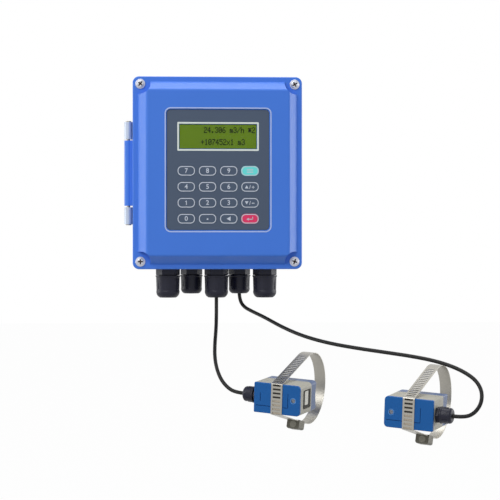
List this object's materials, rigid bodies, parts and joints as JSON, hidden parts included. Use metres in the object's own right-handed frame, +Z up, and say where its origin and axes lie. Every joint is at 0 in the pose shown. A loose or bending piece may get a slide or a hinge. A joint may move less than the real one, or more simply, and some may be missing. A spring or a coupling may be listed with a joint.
{
  "type": "clamp-on ultrasonic flow meter",
  "caption": "Wall-mounted flow meter: blue case with hinged lid, display and keypad, cables, and clamp-on pipe sensors held by worm-drive bands.",
  "frame": {"origin": "centre of the four wall fixing holes, in the back plane of the case", "axes": "+X to the right, +Z up, +Y into the wall, so the front faces -Y"},
  "size_m": [0.3607, 0.246, 0.3917],
  "materials": {
    "case_paint": "blue powder coat, semi-gloss",
    "panel_film": "dark grey textured film",
    "key_grey": "dark grey embossed film",
    "key_teal": "teal embossed film",
    "key_red": "red embossed film",
    "window_clear": "clear acrylic",
    "display_unit": "green backlit display",
    "board_green": "solder mask",
    "transformer_core": "varnished laminations",
    "terminal_green": "moulded polyamide",
    "nylon_black": "moulded nylon",
    "rubber_black": "soft rubber",
    "cable_black": "cable sheath",
    "steel_bright": "stainless, lightly brushed",
    "sensor_blue": "moulded plastic",
    "sensor_grey": "moulded plastic"
  },
  "bodies": {
    "case": {"base_housing": "case_paint", "hinge_brackets": "case_paint", "hinge_pin": "steel_bright", "main_board": "board_green", "power_transformer": "transformer_core", "terminal_blocks": "terminal_green", "small_screws": "steel_bright", "gland_locknuts": "nylon_black", "gland_seals": "rubber_black", "gland_body_1": "nylon_black", "gland_nut_1": "nylon_black", "gland_body_2": "nylon_black", "gland_nut_2": "nylon_black", "gland_body_3": "nylon_black", "gland_nut_3": "nylon_black", "gland_body_4": "nylon_black", "gland_nut_4": "nylon_black", "gland_body_5": "nylon_black", "gland_nut_5": "nylon_black", "sensor_housing_left": "sensor_grey", "sensor_cover_left": "sensor_blue", "sensor_shoe_left": "sensor_blue", "sensor_gland_body_left": "nylon_black", "sensor_gland_nut_left": "nylon_black", "strap_band_left": "steel_bright", "strap_lock_left": "steel_bright", "cable_left": "cable_black", "sensor_housing_right": "sensor_grey", "sensor_cover_right": "sensor_blue", "sensor_shoe_right": "sensor_blue", "sensor_gland_body_right": "nylon_black", "sensor_gland_nut_right": "nylon_black", "strap_band_right": "steel_bright", "strap_lock_right": "steel_bright", "cable_right": "cable_black"},
    "lid": {"lid": "case_paint", "lid_gasket": "rubber_black", "lid_screws": "steel_bright", "keypad_overlay": "panel_film", "display_window": "window_clear", "display_module": "display_unit", "keypad_board": "board_green"},
    "key_seven": {"key_seven": "key_grey"},
    "key_eight": {"key_eight": "key_grey"},
    "key_nine": {"key_nine": "key_grey"},
    "key_menu": {"key_menu": "key_teal"},
    "key_four": {"key_four": "key_grey"},
    "key_five": {"key_five": "key_grey"},
    "key_six": {"key_six": "key_grey"},
    "key_up": {"key_up": "key_grey"},
    "key_one": {"key_one": "key_grey"},
    "key_two": {"key_two": "key_grey"},
    "key_three": {"key_three": "key_grey"},
    "key_down": {"key_down": "key_grey"},
    "key_zero": {"key_zero": "key_grey"},
    "key_point": {"key_point": "key_grey"},
    "key_back": {"key_back": "key_grey"},
    "key_enter": {"key_enter": "key_red"},
    "strap_screw_left": {"strap_screw_left": "steel_bright"},
    "strap_screw_right": {"strap_screw_right": "steel_bright"}
  },
  "joints": [
    {"name": "lid_hinge", "type": "hinge", "parent": "case", "child": "lid", "pos_m": [-0.09695, -0.058, 0], "axis": [0, 0, -1], "range_deg": [0, 150]},
    {"name": "press_seven", "type": "slide", "parent": "lid", "child": "key_seven", "axis": [0, 1, 0], "range_m": [0, 0.0004], "stiffness_N_per_m": 500},
    {"name": "press_eight", "type": "slide", "parent": "lid", "child": "key_eight", "axis": [0, 1, 0], "range_m": [0, 0.0004], "stiffness_N_per_m": 500},
    {"name": "press_nine", "type": "slide", "parent": "lid", "child": "key_nine", "axis": [0, 1, 0], "range_m": [0, 0.0004], "stiffness_N_per_m": 500},
    {"name": "press_menu", "type": "slide", "parent": "lid", "child": "key_menu", "axis": [0, 1, 0], "range_m": [0, 0.0004], "stiffness_N_per_m": 500},
    {"name": "press_four", "type": "slide", "parent": "lid", "child": "key_four", "axis": [0, 1, 0], "range_m": [0, 0.0004], "stiffness_N_per_m": 500},
    {"name": "press_five", "type": "slide", "parent": "lid", "child": "key_five", "axis": [0, 1, 0], "range_m": [0, 0.0004], "stiffness_N_per_m": 500},
    {"name": "press_six", "type": "slide", "parent": "lid", "child": "key_six", "axis": [0, 1, 0], "range_m": [0, 0.0004], "stiffness_N_per_m": 500},
    {"name": "press_up", "type": "slide", "parent": "lid", "child": "key_up", "axis": [0, 1, 0], "range_m": [0, 0.0004], "stiffness_N_per_m": 500},
    {"name": "press_one", "type": "slide", "parent": "lid", "child": "key_one", "axis": [0, 1, 0], "range_m": [0, 0.0004], "stiffness_N_per_m": 500},
    {"name": "press_two", "type": "slide", "parent": "lid", "child": "key_two", "axis": [0, 1, 0], "range_m": [0, 0.0004], "stiffness_N_per_m": 500},
    {"name": "press_three", "type": "slide", "parent": "lid", "child": "key_three", "axis": [0, 1, 0], "range_m": [0, 0.0004], "stiffness_N_per_m": 500},
    {"name": "press_down", "type": "slide", "parent": "lid", "child": "key_down", "axis": [0, 1, 0], "range_m": [0, 0.0004], "stiffness_N_per_m": 500},
    {"name": "press_zero", "type": "slide", "parent": "lid", "child": "key_zero", "axis": [0, 1, 0], "range_m": [0, 0.0004], "stiffness_N_per_m": 500},
    {"name": "press_point", "type": "slide", "parent": "lid", "child": "key_point", "axis": [0, 1, 0], "range_m": [0, 0.0004], "stiffness_N_per_m": 500},
    {"name": "press_back", "type": "slide", "parent": "lid", "child": "key_back", "axis": [0, 1, 0], "range_m": [0, 0.0004], "stiffness_N_per_m": 500},
    {"name": "press_enter", "type": "slide", "parent": "lid", "child": "key_enter", "axis": [0, 1, 0], "range_m": [0, 0.0004], "stiffness_N_per_m": 500},
    {"name": "strap_screw_left_turn", "type": "hinge", "parent": "case", "child": "strap_screw_left", "pos_m": [0.08222, -0.10416, -0.27148], "axis": [0.4485, 0.8685, -0.211], "continuous": true},
    {"name": "strap_screw_right_turn", "type": "hinge", "parent": "case", "child": "strap_screw_right", "pos_m": [0.21057, -0.17269, -0.28076], "axis": [0.4485, 0.8685, -0.211], "continuous": true}
  ]
}
